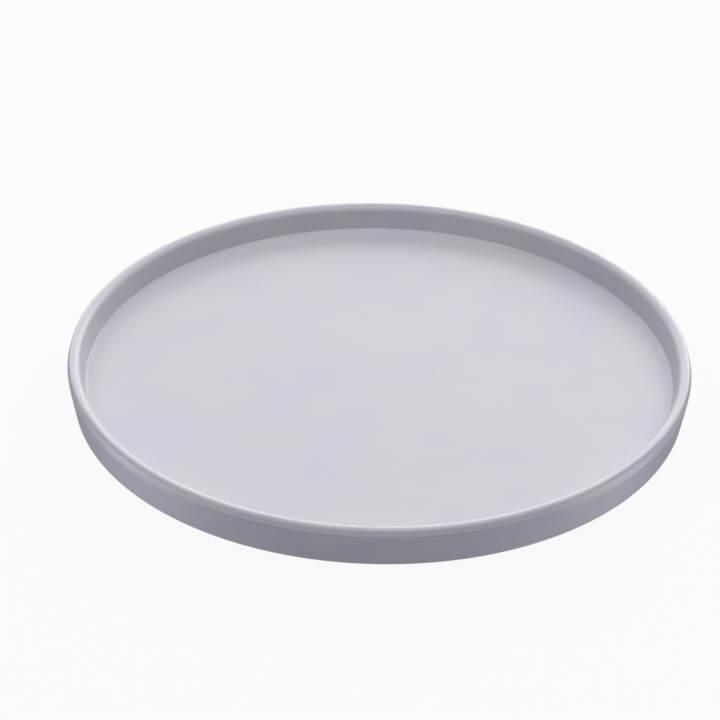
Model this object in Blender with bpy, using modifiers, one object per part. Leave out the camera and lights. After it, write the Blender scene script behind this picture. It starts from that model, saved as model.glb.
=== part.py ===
"""Lazy susan turntable.

A round moulded tray with a low rounded lip turns on a ring of steel balls above a smaller moulded
base that stands on six rubber feet. The balls run in a groove in the base and a groove under the
tray, and a moulded cage keeps them apart. A boss under the middle of the tray turns in the hub of
the base, and a screw and a washer from below hold the two together.

Metres, +Z up. The origin is on the turning axis, on the surface that the feet stand on.
"""

import math

import bmesh
import bpy

# General
GAP = 0.0003                 # between two pieces that touch or run on each other
SEGMENTS = 60                # round a large turned piece
SMALL_SEGMENTS = 20          # round a small turned piece or a drilled hole
GROOVE_STEPS = 6             # round the section of a ball groove
OVERLAP = 0.001              # how far a rib runs into what it is moulded with
CUT_MARGIN = 0.002           # how far a cutter reaches past the wall that it cuts

# Tray, from its rim inwards and downwards
TRAY_RADIUS = 0.150          # outside of the lip
TRAY_DEPTH = 0.0118          # crest of the lip to the floor
SKIRT_HEIGHT = 0.0203        # crest of the lip to the lower edge of the skirt
SKIRT_DRAFT = 0.0030         # how much smaller the skirt's lower edge is than the lip, in radius
SKIRT_EDGE = 0.0004          # chamfer of the skirt's lower edge
LIP_INNER_ROUND = 0.0038     # round section of the lip, from its crest to the inner wall
LIP_OUTER_ROUND = 0.0025     # round section of the lip, from its crest to its side
LIP_HEIGHT = 0.0041          # crest of the lip to the crease under it
CREASE_DEPTH = 0.0004        # how far the crease is sunk
LIP_TUCK = 0.0002            # how far the lip has turned in where it starts down into the crease
SHOULDER_DROP = 0.0011       # the crease down to the skirt's shoulder
SHOULDER_INSET = 0.0002      # how far the skirt's shoulder stands inside the lip
INNER_DRAFT = 15.0           # degrees that the inner wall leans outwards
INNER_FILLET = 0.0016        # radius where the inner wall meets the floor
WALL = 0.0024                # inner wall and skirt
FLOOR = 0.0025               # floor of the tray
CORE_DEPTH = 0.0085          # crest of the lip down to the top of the hollow behind the inner wall

# Ribs under the tray
RIB_WIDTH = 0.0015
RIB_DEPTH = 0.0020
RIB_RING_RADIUS = 0.113
OUTER_RIBS = 12
INNER_RIBS = 6
RIB_END_GAP = 0.0010         # outer end of a rib to the hollow behind the inner wall
RIB_STEP = 0.0002            # how much less the straight ribs stand out than the ring ribs

# Ball race
BALLS = 16
BALL_RADIUS = 0.003
RACE_RADIUS = 0.075          # circle through the centres of the balls
RACE_WALL = 0.0015           # race ring beside its groove
RACE_FLOOR = 0.0017          # base under its groove
RACE_CROWN = 0.0012          # tray between its groove and the underside of its floor

# Ball cage
CAGE_WEB = 0.0012            # plate that holds the pockets
CAGE_FLANGE_WIDTH = 0.0018
CAGE_CLEARANCE = 0.0006      # the cage's flange to the base below it and to the ribs above it

# Base
FOOT_BAND = 0.023            # race circle out to the edge of the base
BASE_PLATE = 0.0025
BASE_STAND = 0.0015          # underside of the base above the table
BASE_RIM_WIDTH = 0.0025
BASE_RIM_HEIGHT = 0.0055     # rim of the base above its underside
BASE_EDGE = 0.0006           # chamfer of the outer lower edge
BASE_CORE = 0.0010           # how deep the underside is cored out between its ribs
BASE_RIBS = 12
BASE_RING_RADIUS = 0.041     # ring rib under the base

# Feet
FEET = 6
FOOT_RADIUS = 0.007
FOOT_SEAT = 0.0010           # depth of the recess that a foot is glued into
FOOT_EDGE = 0.0020           # a foot to the edge of the base
FOOT_BEVEL = 0.0004

# Pivot
BOSS_RADIUS = 0.006
HUB_WALL = 0.0024
HUB_CLEARANCE = 0.0005       # top of the hub to the ribs under the tray
WASHER_OVERLAP = 0.0021      # how far the washer reaches under the hub's seat
WASHER_THICKNESS = 0.0008
WASHER_SIDE_GAP = 0.0005     # washer to the wall of the counterbore
WASHER_EDGE = 0.0002         # chamfer of the washer's lower edge
SCREW_HEAD_RADIUS = 0.0038
SCREW_HEAD_HEIGHT = 0.0018
SCREW_HEAD_EDGE = 0.0006     # height of the head's lower bevel
SCREW_HEAD_BEND = 0.0033     # radius half way up that bevel
SCREW_HEAD_FLAT = 0.0025     # radius of the head's flat face, round the recess
SCREW_HEAD_LIFT = 0.0003     # bottom of the head above the underside of the base
SCREW_RADIUS = 0.0019
SCREW_TIP = 0.0015           # length of the pointed end
SCREW_TIP_RADIUS = 0.0006    # blunt end of the point
PILOT_FLOOR = 0.0020         # tray floor left above the screw's hole
DRIVE_WIDTH = 0.0008         # the cross recess in the head
DRIVE_LENGTH = 0.0042
DRIVE_DEPTH = 0.0010

# Heights above the table, each worked out from the pieces below it
groove_radius = BALL_RADIUS + GAP
ball_z = BASE_STAND + RACE_FLOOR + groove_radius
plate_top = BASE_STAND + BASE_PLATE
core_top = BASE_STAND + BASE_CORE
base_race_top = ball_z - CAGE_WEB / 2 - GAP
tray_race_bottom = ball_z + CAGE_WEB / 2 + GAP
floor_under = ball_z + groove_radius + RACE_CROWN
floor_top = floor_under + FLOOR
crest_z = floor_top + TRAY_DEPTH
skirt_z = crest_z - SKIRT_HEIGHT
rib_bottom = floor_under - RIB_DEPTH
hub_top = rib_bottom - HUB_CLEARANCE
screw_head_z = BASE_STAND + SCREW_HEAD_LIFT
screw_head_top = screw_head_z + SCREW_HEAD_HEIGHT
washer_z = screw_head_top + GAP
seat_z = washer_z + WASHER_THICKNESS + GAP
pilot_top = floor_top - PILOT_FLOOR

# Radii that follow from the sizes above
groove_half_width = math.sqrt(groove_radius ** 2 - (CAGE_WEB / 2 + GAP) ** 2)
race_inner = RACE_RADIUS - groove_half_width - RACE_WALL
race_outer = RACE_RADIUS + groove_half_width + RACE_WALL
base_radius = RACE_RADIUS + FOOT_BAND
bore_radius = BOSS_RADIUS + GAP
pilot_radius = SCREW_RADIUS + GAP
washer_radius = bore_radius + WASHER_OVERLAP
counterbore_radius = washer_radius + WASHER_SIDE_GAP
hub_radius = counterbore_radius + HUB_WALL
foot_circle = base_radius - FOOT_EDGE - FOOT_RADIUS
crest_radius = TRAY_RADIUS - LIP_OUTER_ROUND
crease_z = crest_z - LIP_HEIGHT
shoulder_z = crease_z - SHOULDER_DROP
shoulder_radius = TRAY_RADIUS - SHOULDER_INSET
skirt_bottom_radius = TRAY_RADIUS - SKIRT_DRAFT


def clear_scene():
    for old in list(bpy.data.objects):
        bpy.data.objects.remove(old, do_unlink=True)


def new_collection(name):
    made = bpy.data.collections.new(name)
    bpy.context.scene.collection.children.link(made)
    return made


def new_material(name, colour, roughness, metallic=0.0):
    material = bpy.data.materials.new(name)
    material.use_nodes = True
    shader = material.node_tree.nodes["Principled BSDF"]
    shader.inputs["Base Color"].default_value = (*colour, 1.0)
    shader.inputs["Roughness"].default_value = roughness
    shader.inputs["Metallic"].default_value = metallic
    material.diffuse_color = (*colour, 1.0)
    return material


def arc(centre_r, centre_z, radius, start, end, steps):
    """Points on an arc in the (radius, height) plane, from one angle in degrees to another."""
    angles = [math.radians(start + (end - start) * i / steps) for i in range(steps + 1)]
    return [(centre_r + radius * math.cos(a), centre_z + radius * math.sin(a)) for a in angles]


def polar(radius, turn, height):
    """The point at this radius, at this fraction of a full turn from +X, at this height."""
    angle = 2 * math.pi * turn
    return (radius * math.cos(angle), radius * math.sin(angle), height)


def link_mesh(name, mesh, collection, material=None):
    piece = bpy.data.objects.new(name, mesh)
    collection.objects.link(piece)
    if material:
        mesh.materials.append(material)
    return piece


def smooth(mesh):
    mesh.shade_smooth()
    mesh.set_sharp_from_angle(angle=math.radians(35))


def turned(name, outline, material, collection, closed, segments=SEGMENTS):
    """A solid of revolution: its outline at +X, down its outer side, carried round Z."""
    mesh = bpy.data.meshes.new(name)
    points = [(r, 0.0, z) for r, z in outline]
    edges = [(i, i + 1) for i in range(len(points) - 1)]
    if closed:
        edges.append((len(points) - 1, 0))
    mesh.from_pydata(points, edges, [])
    piece = link_mesh(name, mesh, collection, material)
    screw = piece.modifiers.new("turn", "SCREW")
    screw.angle = 2 * math.pi
    screw.steps = segments
    screw.render_steps = segments
    screw.use_smooth_shade = True
    screw.use_merge_vertices = True
    screw.merge_threshold = 0.00001
    return piece


def cylinder_mesh(name, radius, height, segments=SMALL_SEGMENTS):
    mesh = bpy.data.meshes.new(name)
    shape = bmesh.new()
    bmesh.ops.create_cone(
        shape, cap_ends=True, segments=segments, radius1=radius, radius2=radius, depth=height
    )
    shape.to_mesh(mesh)
    shape.free()
    return mesh


def box_mesh(name, size):
    mesh = bpy.data.meshes.new(name)
    shape = bmesh.new()
    bmesh.ops.create_cube(shape, size=1.0)
    bmesh.ops.scale(shape, vec=size, verts=shape.verts)
    shape.to_mesh(mesh)
    shape.free()
    return mesh


def helper(name, mesh, place, turn=0.0):
    """A cutter or an added shape, kept out of the renders."""
    piece = link_mesh(name, mesh, cutters)
    piece.location = place
    piece.rotation_euler = (0.0, 0.0, 2 * math.pi * turn)
    piece.hide_render = True
    piece.display_type = "WIRE"
    return piece


def boolean(piece, other, operation):
    step = piece.modifiers.new(other.name, "BOOLEAN")
    step.operation = operation
    step.solver = "EXACT"
    step.object = other


def ring_of_helpers(piece, name, mesh, count, radius, height, operation, offset=0.0):
    """Cuts or joins one mesh at equal steps round the axis."""
    for index in range(count):
        turn = (index + offset) / count
        other = helper(f"{name}_{index + 1}", mesh, polar(radius, turn, height), turn)
        boolean(piece, other, operation)


def ribs(piece, name, count, inner, outer, low, high, offset=0.0):
    """Straight radial ribs between two radii and two heights, moulded with the piece."""
    mesh = box_mesh(name, (outer - inner, RIB_WIDTH, high - low))
    ring_of_helpers(piece, name, mesh, count, (inner + outer) / 2, (low + high) / 2, "UNION", offset)


def inner_wall_radius(z):
    """Radius of the tray's leaning inner wall at a height."""
    lean = math.radians(INNER_DRAFT)
    top_r = crest_radius - LIP_INNER_ROUND * math.cos(lean)
    top_z = crest_z - LIP_INNER_ROUND + LIP_INNER_ROUND * math.sin(lean)
    return top_r - (top_z - z) * math.tan(lean)


def skirt_radius(z):
    """Radius of the skirt's outer face at a height."""
    share = (shoulder_z - z) / (shoulder_z - skirt_z)
    return shoulder_radius + (skirt_bottom_radius - shoulder_radius) * share


def groove(top_side):
    """The groove that the balls run in, from its outer edge to its inner edge."""
    edge = math.degrees(math.acos(groove_half_width / groove_radius))
    if top_side:
        return arc(RACE_RADIUS, ball_z, groove_radius, edge, 180 - edge, GROOVE_STEPS)
    return arc(RACE_RADIUS, ball_z, groove_radius, 180 + edge, 360 - edge, GROOVE_STEPS)


def tray_outline():
    """From the middle of the floor over the lip, down the skirt and back in underneath."""
    lean = math.radians(INNER_DRAFT)
    # The fillet touches the floor and the leaning wall.
    corner_r = inner_wall_radius(floor_top)
    touch = INNER_FILLET * math.tan((math.pi / 2 - lean) / 2)
    points = [(0.0, floor_top)]
    points += arc(corner_r - touch, floor_top + INNER_FILLET, INNER_FILLET, -90, -INNER_DRAFT, 2)
    inner_z = crest_z - LIP_INNER_ROUND
    points += arc(crest_radius, inner_z, LIP_INNER_ROUND, 180 - INNER_DRAFT, 90, 4)
    outer_z = crest_z - LIP_OUTER_ROUND
    points += arc(crest_radius, outer_z, LIP_OUTER_ROUND, 90, 0, 4)[1:]
    # Below its widest point the lip turns in to the crease, and the skirt's shoulder comes out again.
    points.append((TRAY_RADIUS - LIP_TUCK, crease_z + CREASE_DEPTH))
    points.append((TRAY_RADIUS - CREASE_DEPTH, crease_z))
    points.append((shoulder_radius, shoulder_z))
    points.append((skirt_radius(skirt_z + SKIRT_EDGE), skirt_z + SKIRT_EDGE))
    points.append((skirt_bottom_radius - SKIRT_EDGE, skirt_z))
    # The skirt's inside, the hollow behind the inner wall and the underside of the floor.
    points.append((skirt_bottom_radius - WALL, skirt_z))
    core_z = crest_z - CORE_DEPTH
    wall_back = WALL / math.cos(lean)
    points.append((skirt_radius(core_z) - WALL, core_z))
    points.append((inner_wall_radius(core_z) + wall_back, core_z))
    points.append((inner_wall_radius(floor_under) + wall_back, floor_under))
    # A ring rib, the race ring with its groove, and the boss with the screw's hole.
    for r, z in ((RIB_WIDTH / 2, floor_under), (RIB_WIDTH / 2, rib_bottom)):
        points.append((RIB_RING_RADIUS + r, z))
    for r, z in ((RIB_WIDTH / 2, rib_bottom), (RIB_WIDTH / 2, floor_under)):
        points.append((RIB_RING_RADIUS - r, z))
    points += [(race_outer, floor_under), (race_outer, tray_race_bottom)]
    points += groove(top_side=True)
    points += [(race_inner, tray_race_bottom), (race_inner, floor_under)]
    points += [(BOSS_RADIUS, floor_under), (BOSS_RADIUS, seat_z)]
    points += [(pilot_radius, seat_z), (pilot_radius, pilot_top), (0.0, pilot_top)]
    return points


def make_tray():
    tray = turned("tray", tray_outline(), tray_plastic, pieces, closed=False)
    rib_top = floor_under + OVERLAP
    rib_end = inner_wall_radius(floor_under) - RIB_END_GAP
    rib_low = rib_bottom + RIB_STEP
    ribs(tray, "tray_inner_rib", INNER_RIBS, BOSS_RADIUS - OVERLAP, race_inner + OVERLAP,
         rib_low, rib_top, offset=0.5)
    ribs(tray, "tray_outer_rib", OUTER_RIBS, race_outer - OVERLAP, rib_end, rib_low, rib_top)


def base_outline():
    """Closed outline of the base, from the top of its rim down the outside and back in below."""
    rim_top = BASE_STAND + BASE_RIM_HEIGHT
    points = [(base_radius, rim_top), (base_radius, BASE_STAND + BASE_EDGE)]
    points += [(base_radius - BASE_EDGE, BASE_STAND), (race_inner, BASE_STAND), (race_inner, core_top)]
    ring_outer = BASE_RING_RADIUS + RIB_WIDTH / 2
    ring_inner = BASE_RING_RADIUS - RIB_WIDTH / 2
    points += [(ring_outer, core_top), (ring_outer, BASE_STAND)]
    points += [(ring_inner, BASE_STAND), (ring_inner, core_top)]
    points += [(hub_radius, core_top), (hub_radius, BASE_STAND), (counterbore_radius, BASE_STAND)]
    points += [(counterbore_radius, seat_z), (bore_radius, seat_z)]
    points += [(bore_radius, hub_top), (hub_radius, hub_top), (hub_radius, plate_top)]
    points += [(race_inner, plate_top), (race_inner, base_race_top)]
    points += groove(top_side=False)
    points += [(race_outer, base_race_top), (race_outer, plate_top)]
    rim_inner = base_radius - BASE_RIM_WIDTH
    points += [(rim_inner, plate_top), (rim_inner, rim_top)]
    return points


def make_base():
    base = turned("base", base_outline(), base_plastic, pieces, closed=True)
    ribs(base, "base_rib", BASE_RIBS, hub_radius - OVERLAP, race_inner + OVERLAP,
         BASE_STAND + RIB_STEP, core_top + BASE_CORE / 2)
    seat = cylinder_mesh("foot_seat", FOOT_RADIUS + GAP, FOOT_SEAT + CUT_MARGIN)
    ring_of_helpers(base, "foot_seat", seat, FEET, foot_circle,
                    BASE_STAND + (FOOT_SEAT - CUT_MARGIN) / 2, "DIFFERENCE")


def make_feet():
    height = BASE_STAND + FOOT_SEAT - GAP
    mesh = cylinder_mesh("foot", FOOT_RADIUS, height)
    mesh.materials.append(foot_rubber)
    smooth(mesh)
    for index in range(FEET):
        foot = link_mesh(f"foot_{index + 1}", mesh, pieces)
        foot.location = polar(foot_circle, index / FEET, height / 2)
        edge = foot.modifiers.new("rounded edge", "BEVEL")
        edge.width = FOOT_BEVEL
        edge.segments = 1


def make_cage():
    """A flat ring with one pocket for each ball, and a flange round its outside."""
    web_low = ball_z - CAGE_WEB / 2
    web_high = ball_z + CAGE_WEB / 2
    flange_inner = race_outer + GAP
    flange_outer = flange_inner + CAGE_FLANGE_WIDTH
    flange_low = plate_top + CAGE_CLEARANCE
    flange_high = rib_bottom - CAGE_CLEARANCE
    outline = [(flange_outer, flange_high), (flange_outer, flange_low)]
    outline += [(flange_inner, flange_low), (flange_inner, web_low)]
    outline += [(race_inner, web_low), (race_inner, web_high)]
    outline += [(flange_inner, web_high), (flange_inner, flange_high)]
    cage = turned("ball_cage", outline, cage_plastic, pieces, closed=True)
    cage.parent = turning_axis
    pocket = cylinder_mesh("cage_pocket", groove_radius, CAGE_WEB + 2 * CUT_MARGIN)
    ring_of_helpers(cage, "cage_pocket", pocket, BALLS, RACE_RADIUS, ball_z, "DIFFERENCE")


def make_balls():
    """Steel balls, each with its own centre as its origin."""
    mesh = bpy.data.meshes.new("ball")
    shape = bmesh.new()
    bmesh.ops.create_uvsphere(shape, u_segments=12, v_segments=6, radius=BALL_RADIUS)
    shape.to_mesh(mesh)
    shape.free()
    mesh.materials.append(ball_steel)
    mesh.shade_smooth()
    for index in range(BALLS):
        ball = link_mesh(f"ball_{index + 1:02d}", mesh, pieces)
        ball.location = polar(RACE_RADIUS, index / BALLS, ball_z)
        ball.rotation_euler = (0.0, 0.0, 2 * math.pi * index / BALLS)


def make_pivot():
    """The screw, head down, that goes up into the tray's boss, and the washer above its head."""
    tip_z = pilot_top - GAP
    outline = [(0.0, tip_z), (SCREW_TIP_RADIUS, tip_z), (SCREW_RADIUS, tip_z - SCREW_TIP)]
    outline += [(SCREW_RADIUS, screw_head_top), (SCREW_HEAD_RADIUS, screw_head_top)]
    outline += [(SCREW_HEAD_RADIUS, screw_head_z + 2 * SCREW_HEAD_EDGE)]
    outline += [(SCREW_HEAD_BEND, screw_head_z + SCREW_HEAD_EDGE / 2)]
    outline += [(SCREW_HEAD_FLAT, screw_head_z), (0.0, screw_head_z)]
    screw = turned("pivot_screw", outline, zinc_steel, pieces, closed=False, segments=SMALL_SEGMENTS)
    screw.parent = turning_axis
    drive = box_mesh("drive", (DRIVE_LENGTH, DRIVE_WIDTH, DRIVE_DEPTH + CUT_MARGIN))
    for index in range(2):
        place = (0.0, 0.0, screw_head_z + (DRIVE_DEPTH - CUT_MARGIN) / 2)
        boolean(screw, helper(f"drive_{index + 1}", drive, place, index / 4), "DIFFERENCE")

    top = washer_z + WASHER_THICKNESS
    outline = [(washer_radius, top), (washer_radius, washer_z + WASHER_EDGE)]
    outline += [(washer_radius - WASHER_EDGE, washer_z), (pilot_radius, washer_z), (pilot_radius, top)]
    washer = turned("pivot_washer", outline, zinc_steel, pieces, closed=True, segments=SMALL_SEGMENTS * 2)
    washer.parent = turning_axis


clear_scene()
pieces = new_collection("lazy_susan_turntable")
cutters = new_collection("cutters")
cutters.hide_render = True

tray_plastic = new_material("tray_plastic", (0.62, 0.61, 0.67), 0.55)
base_plastic = new_material("base_plastic", (0.58, 0.57, 0.63), 0.60)
cage_plastic = new_material("cage_plastic", (0.80, 0.79, 0.76), 0.45)
foot_rubber = new_material("foot_rubber", (0.30, 0.30, 0.32), 0.85)
ball_steel = new_material("ball_steel", (0.62, 0.62, 0.63), 0.15, 1.0)
zinc_steel = new_material("zinc_steel", (0.66, 0.66, 0.64), 0.35, 1.0)

turning_axis = bpy.data.objects.new("turning_axis", None)
pieces.objects.link(turning_axis)

make_tray()
bpy.data.objects["tray"].parent = turning_axis
make_base()
make_feet()
make_cage()
make_balls()
make_pivot()
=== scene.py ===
"""Looks of the lazy susan turntable: a matte moulded tray that turns on a caged ring of steel balls.

Every piece is a surface on a grid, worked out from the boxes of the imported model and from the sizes
of the sections below. Metres, +Z up, the turning axis at the origin.
"""

import math

import bpy
import numpy as np
from mathutils import Matrix, Vector


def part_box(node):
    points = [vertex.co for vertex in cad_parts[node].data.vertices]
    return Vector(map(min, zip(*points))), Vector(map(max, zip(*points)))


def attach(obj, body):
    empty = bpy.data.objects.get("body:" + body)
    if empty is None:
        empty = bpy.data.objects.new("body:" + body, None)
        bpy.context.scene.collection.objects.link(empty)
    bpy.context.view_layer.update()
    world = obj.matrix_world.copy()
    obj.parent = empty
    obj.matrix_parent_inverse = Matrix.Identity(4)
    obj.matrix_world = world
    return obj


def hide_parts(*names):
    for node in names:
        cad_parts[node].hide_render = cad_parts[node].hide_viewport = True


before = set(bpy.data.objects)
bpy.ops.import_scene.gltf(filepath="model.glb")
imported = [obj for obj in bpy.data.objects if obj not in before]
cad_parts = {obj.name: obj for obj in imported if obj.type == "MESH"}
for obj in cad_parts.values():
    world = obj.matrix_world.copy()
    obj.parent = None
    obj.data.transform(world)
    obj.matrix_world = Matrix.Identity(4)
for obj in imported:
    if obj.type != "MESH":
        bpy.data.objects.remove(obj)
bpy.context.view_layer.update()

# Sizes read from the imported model
tray_low, tray_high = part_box("tray")
base_low, base_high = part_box("base")
cage_low, cage_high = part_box("ball_cage")
ball_low, ball_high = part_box("ball_01")
foot_low, foot_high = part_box("foot_1")
screw_low, screw_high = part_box("pivot_screw")
washer_low, washer_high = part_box("pivot_washer")

tray_radius = tray_high.x
crest_z = tray_high.z
skirt_z = tray_low.z
base_radius = base_high.x
base_z = base_low.z
hub_top = base_high.z
ball_z = (ball_low.z + ball_high.z) / 2
ball_radius = (ball_high.z - ball_low.z) / 2
race_radius = (ball_low.x + ball_high.x) / 2
foot_circle = (foot_low.x + foot_high.x) / 2
foot_radius = (foot_high.y - foot_low.y) / 2

BALLS = 16
FEET = 6
GAP = 0.0003                 # clearance between pieces that fit

# Tray
TRAY_DEPTH = 0.0118          # crest of the lip to the floor
FLOOR = 0.0025
WALL = 0.0024
SKIRT_DRAFT = 0.0030         # how much the skirt narrows on its way down, in radius
INNER_DRAFT = 15.0           # degrees that the inner wall leans outwards
LIP_INNER_ROUND = 0.0038
LIP_OUTER_ROUND = 0.0025
LIP_HEIGHT = 0.0041          # crest of the lip to the crease under it
CREASE_DEPTH = 0.0004
SHOULDER_DROP = 0.0011       # the crease down to the skirt's shoulder
SHOULDER_INSET = 0.0002
CORE_DEPTH = 0.0085          # crest of the lip to the roof of the hollow inside the skirt

# Ribs
RIB_WIDTH = 0.0015
RIB_DEPTH = 0.0020
RIB_STEP = 0.0002            # straight ribs stand out this much less than the ring ribs
RIB_ROOT = 0.0004            # fillet at the foot of a rib
RIB_EDGE = 0.0002            # round along its free edge
RIBS = 12                    # directions that hold a rib
RIB_COLUMNS = 6              # grid columns on each side of a rib's middle
TRAY_RING = 0.113
BASE_RING = 0.041
RIB_END_GAP = 0.0010

# Ball race, cage, base and pivot
RACE_WALL = 0.0015
BASE_PLATE = 0.0025
BASE_CORE = 0.0010           # depth that the underside is cored to
BASE_RIM_WIDTH = 0.0025
BASE_RIM_HEIGHT = 0.0055
BASE_EDGE = 0.0006
FOOT_SEAT = 0.0010
CAGE_WEB = 0.0012
BOSS_RADIUS = 0.006
HUB_WALL = 0.0024
WASHER_SIDE_GAP = 0.0005
SCREW_RADIUS = 0.0019
PILOT_FLOOR = 0.0020         # plastic left over the screw's hole

# Heights and radii that follow
floor_top = crest_z - TRAY_DEPTH
floor_under = floor_top - FLOOR
crest_radius = tray_radius - LIP_OUTER_ROUND
crease_z = crest_z - LIP_HEIGHT
shoulder_z = crease_z - SHOULDER_DROP
shoulder_radius = tray_radius - SHOULDER_INSET
skirt_bottom = tray_radius - SKIRT_DRAFT
core_z = crest_z - CORE_DEPTH
rib_height = RIB_DEPTH - RIB_STEP
groove_radius = ball_radius + GAP
groove_reach = math.sqrt(groove_radius ** 2 - (CAGE_WEB / 2 + GAP) ** 2)
race_inner = race_radius - groove_reach - RACE_WALL
race_outer = race_radius + groove_reach + RACE_WALL
tray_race_z = ball_z + CAGE_WEB / 2 + GAP
base_race_z = ball_z - CAGE_WEB / 2 - GAP
plate_top = base_z + BASE_PLATE
core_top = base_z + BASE_CORE
seat_z = washer_high.z + GAP  # the hub's seat and the end of the boss
pilot_top = floor_top - PILOT_FLOOR
bore_radius = BOSS_RADIUS + GAP
pilot_radius = SCREW_RADIUS + GAP
washer_radius = washer_high.x
counterbore_radius = washer_radius + WASHER_SIDE_GAP
hub_radius = counterbore_radius + HUB_WALL

# Finer sizes of the surfaces
DRAFT = 0.00006              # taper of a short moulded wall, in radius
RIB_END_ROUND = 0.0008       # outer end of a straight rib
LIP_SIDE = 0.00045           # the lip's lower edge is this far above the crease
LIP_EDGE_ROUND = 0.00025
LIP_LEAN = 0.0008            # how much the lip's side leans in at the level of the crest
CREASE_ROUND = 0.00015
SHOULDER_ROUND = 0.0004
SKIRT_EDGE = 0.0004
LEDGE_WIDTH = 0.0012         # low ledge along the foot of the inner wall
LEDGE_HEIGHT = 0.00016
LEDGE_ROUND = 0.0003
LEDGE_FILLET = 0.0008
HOLLOW_ROUND = 0.0009
RIM_ROUND = 0.0003
BALL_ROWS = 25
BALL_COLUMNS = 40
FOOT_ROUND = 0.0006
SOLE_RINGS = (0.3, 0.55, 0.8)  # ring grooves, as shares of the foot's radius
SOLE_ROWS = 46
FOOT_COLUMNS = 72
SOLE_DEPTH = 0.0003
SOLE_WIDTH = 0.0005
THREAD_PITCH = 0.0010
THREAD_FLANK = 0.3           # half the ridge's foot, as a share of the pitch
THREAD_ROWS = 14             # grid rows in a pitch
SCREW_ROOT = 0.00145
SCREW_NECK = 0.0003          # plain stretch between the head and the thread
SCREW_NECK_ROUND = 0.0002
SCREW_TIP_ROUND = 0.0002
SCREW_TIP = 0.0015
SCREW_TIP_RADIUS = 0.0006
DRIVE_WIDTH = 0.0008         # the cross recess in the head
DRIVE_LENGTH = 0.0042
DRIVE_DEPTH = 0.0010
HEAD_FLAT = 0.0025           # radius of the flat part of the screw's head
HEAD_BULGE = 0.93            # where the head's face bends, as a share of its radius
HEAD_BULGE_HEIGHT = 0.0004
HEAD_BULGE_ROUND = 0.0012
HEAD_SIDE = 0.0007           # height of its upright side
HEAD_SIDE_ROUND = 0.0006
HEAD_EDGE = 0.00012
WASHER_COLUMNS = 96
PUNCHED_EDGE = 0.00022       # rounds of the washer's face where the punch went in
PUNCHED_HOLE = 0.00018
SHARP_EDGE = 0.00008         # and of the face where it came out
SHARP_HOLE = 0.00006
POCKET_EASE = 0.00015        # eased edge of a cage pocket
POCKET_PATCH = 0.0044        # half the side of the square grid round a pocket
POCKET_APART = 7             # grid columns between two pockets
TRAY_BETWEEN = 18            # grid columns between two ribs
BASE_BETWEEN = 20
GROOVE_STEPS = 14
foot_patch = base_radius - BASE_EDGE - foot_circle  # the same round a foot's seat
seat_radius = foot_radius + GAP

# Longest stretch of a section between two rows
TRAY_STRETCH = 0.005
BASE_STRETCH = 0.004
FINE_STRETCH = 0.002
FOOT_STRETCH = 0.001

# Numbers too small to be a size
MERGE = 1e-7
TINY = 1e-9

# Levels of the square rings round a pocket, as shares of the patch's half size
SEAT_WALL = 7
FOOT_LEVELS = np.concatenate((
    np.linspace(0, 0.96, SEAT_WALL + 1)[:-1] * seat_radius / foot_patch,
    np.array([0.995, 1.0, 1.018]) * seat_radius / foot_patch, [0.94, 1.0]))
POCKET_EDGE = 5
POCKET_LEVELS = np.concatenate((
    np.linspace(0, 1, POCKET_EDGE + 1) * groove_radius / POCKET_PATCH,
    [0.785, 0.87, 1.0]))
SCREW_LEVELS = np.array([0, 0.2, 0.4, 0.44, 0.7, 1.0, 1.35, 1.7, 1.95, 2.1, 2.2, 2.35, 2.5]) / 2.5


# Finishes
TRAY_COLOUR = (0.518, 0.508, 0.552)
TRAY_COLOUR_COOL = (0.498, 0.485, 0.556)
TRAY_ROUGHNESS = 0.46
HANDLED_DEPTH = 0.0020       # the top of the lip, which hands polish
BASE_COLOUR = (0.46, 0.45, 0.50)
TURNING_PITCH = 0.0008       # of the marks that the base's tool insert leaves
DUST_HEIGHT = 0.0009         # how far up a foot the dust reaches

# Stage, light and camera
FLOOR_GLOW = 0.935           # brightness that the ground shows by itself
FLOOR_PAINT = 0.030          # share of the lamps' light that it sends back
FLOOR_Z = -0.0001            # just below the feet
FLOOR_RADIUS = 6.0
SWEEP_RADIUS = 4.0           # of the curve from the floor up into the dome
FLOOR_COLUMNS = 64
WORLD_STRENGTH = 0.02
LIGHT_DISTANCE = 2.2
LIGHT_SIZE = 1.2
UNDER_TINT = (0.94, 0.92, 1.0)  # light thrown up by the ground
LIGHTS = (                   # name, azimuth from the back, elevation, power
    ("back_left", -30.0, 18.0, 12.5),
    ("back", 0.0, 18.0, 11.5),
    ("back_right", 30.0, 18.0, 22.5),
    ("back_high", 0.0, 52.0, 1.5),
    ("back_right_high", 45.0, 52.0, 6.5),
    ("left_high", -90.0, 52.0, 9.8),
    ("right_high", 90.0, 52.0, 3.0),
    ("front_right_high", 130.0, 52.0, 4.5),
    ("overhead", 180.0, 75.0, 22.5),
    ("right_under", 90.0, -25.0, 22.0),
    ("front_under", 180.0, -25.0, 15.5),
    ("left_under", -90.0, -25.0, 22.0),
)
CAMERA_LENS = 175.0          # on a 36 mm frame
CAMERA_DISTANCE = 1.685
CAMERA_ELEVATION = 31.74
CAMERA_PAN = 0.32
CAMERA_TILT = -0.11
CAMERA_ROLL = 1.24


# Sections and grids

def arc(r, z, radius, start, end, steps):
    """Points round (r, z), from one angle in degrees to another: centre + radius (cos a, sin a)."""
    a = np.radians(np.linspace(start, end, steps + 1))
    return np.column_stack((r + radius * np.cos(a), z + radius * np.sin(a)))


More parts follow.
